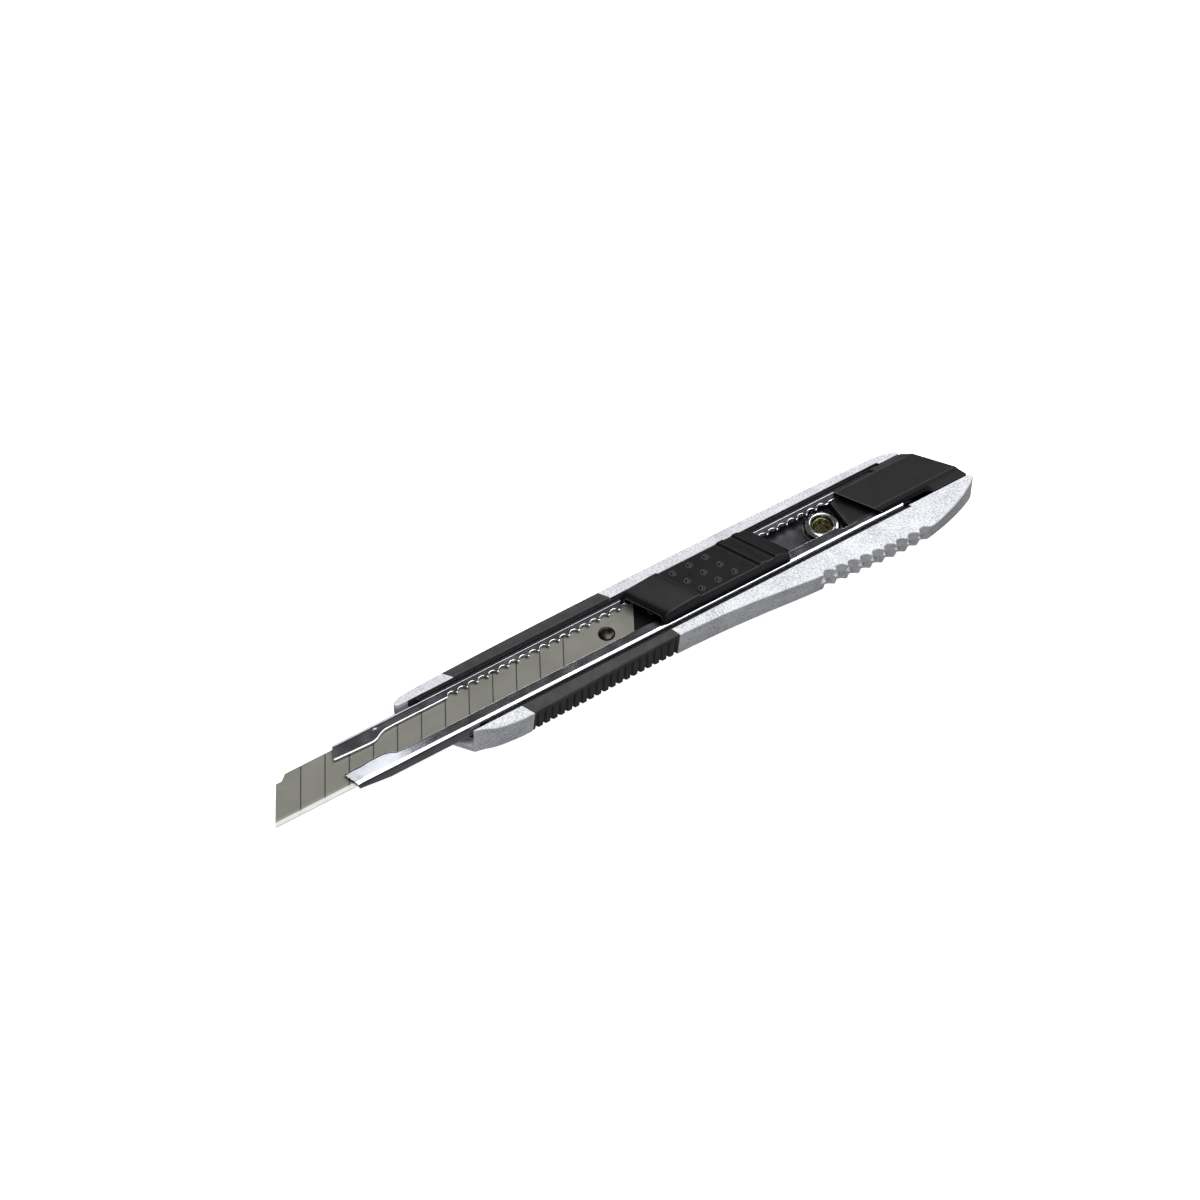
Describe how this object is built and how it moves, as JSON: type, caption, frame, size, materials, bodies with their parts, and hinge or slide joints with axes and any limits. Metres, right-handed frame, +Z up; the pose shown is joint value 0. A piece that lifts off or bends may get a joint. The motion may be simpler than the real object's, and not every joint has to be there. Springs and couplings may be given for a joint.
{
  "type": "snap-off utility knife",
  "caption": "Slim snap-off utility knife with a die-cast handle, ribbed rubber grips, a ratchet-locked sliding blade in a folded steel channel and a pull-off end cap.",
  "frame": {"origin": "on the flat underside of the casting, on the channel's centre line, under the middle of the handle", "axes": "+X from the blade's tip to the butt, +Y from the cutting edge to the blade's spine, +Z up out of the underside to the thumb piece"},
  "size_m": [0.1488, 0.0199, 0.0102],
  "materials": {
    "zinc_casting": "silver hammered lacquer over zinc die casting",
    "grip_rubber": "matt black",
    "black_moulding": "fine moulded",
    "channel_steel": "bright rolled",
    "plated_steel": "bright plated",
    "blade_steel": "satin, with a bright ground bevel",
    "dark_pin": "dark oiled",
    "spring_steel": "rolled",
    "slider_plastic": "fine moulded satin",
    "cap_plastic": "fine moulded satin"
  },
  "bodies": {
    "handle": {"handle_casting": "zinc_casting", "edge_side_grip": "grip_rubber", "spine_side_grip": "grip_rubber", "channel_cradle": "black_moulding", "blade_channel": "channel_steel", "channel_rivet": "plated_steel", "screw_washer": "plated_steel", "channel_screw": "plated_steel"},
    "slider": {"snap_blade": "blade_steel", "blade_carrier": "black_moulding", "blade_peg": "dark_pin", "lock_spring": "spring_steel", "spring_post": "spring_steel", "slider_button": "slider_plastic"},
    "cap": {"end_cap": "cap_plastic"}
  },
  "joints": [
    {"name": "blade_slide", "type": "slide", "parent": "handle", "child": "slider", "axis": [-1, 0, 0], "range_m": [-0.0172, 0.0432], "deforming": ["lock_spring"]},
    {"name": "cap_pull", "type": "slide", "parent": "handle", "child": "cap", "axis": [1, 0, 0], "range_m": [0, 0.025]}
  ]
}
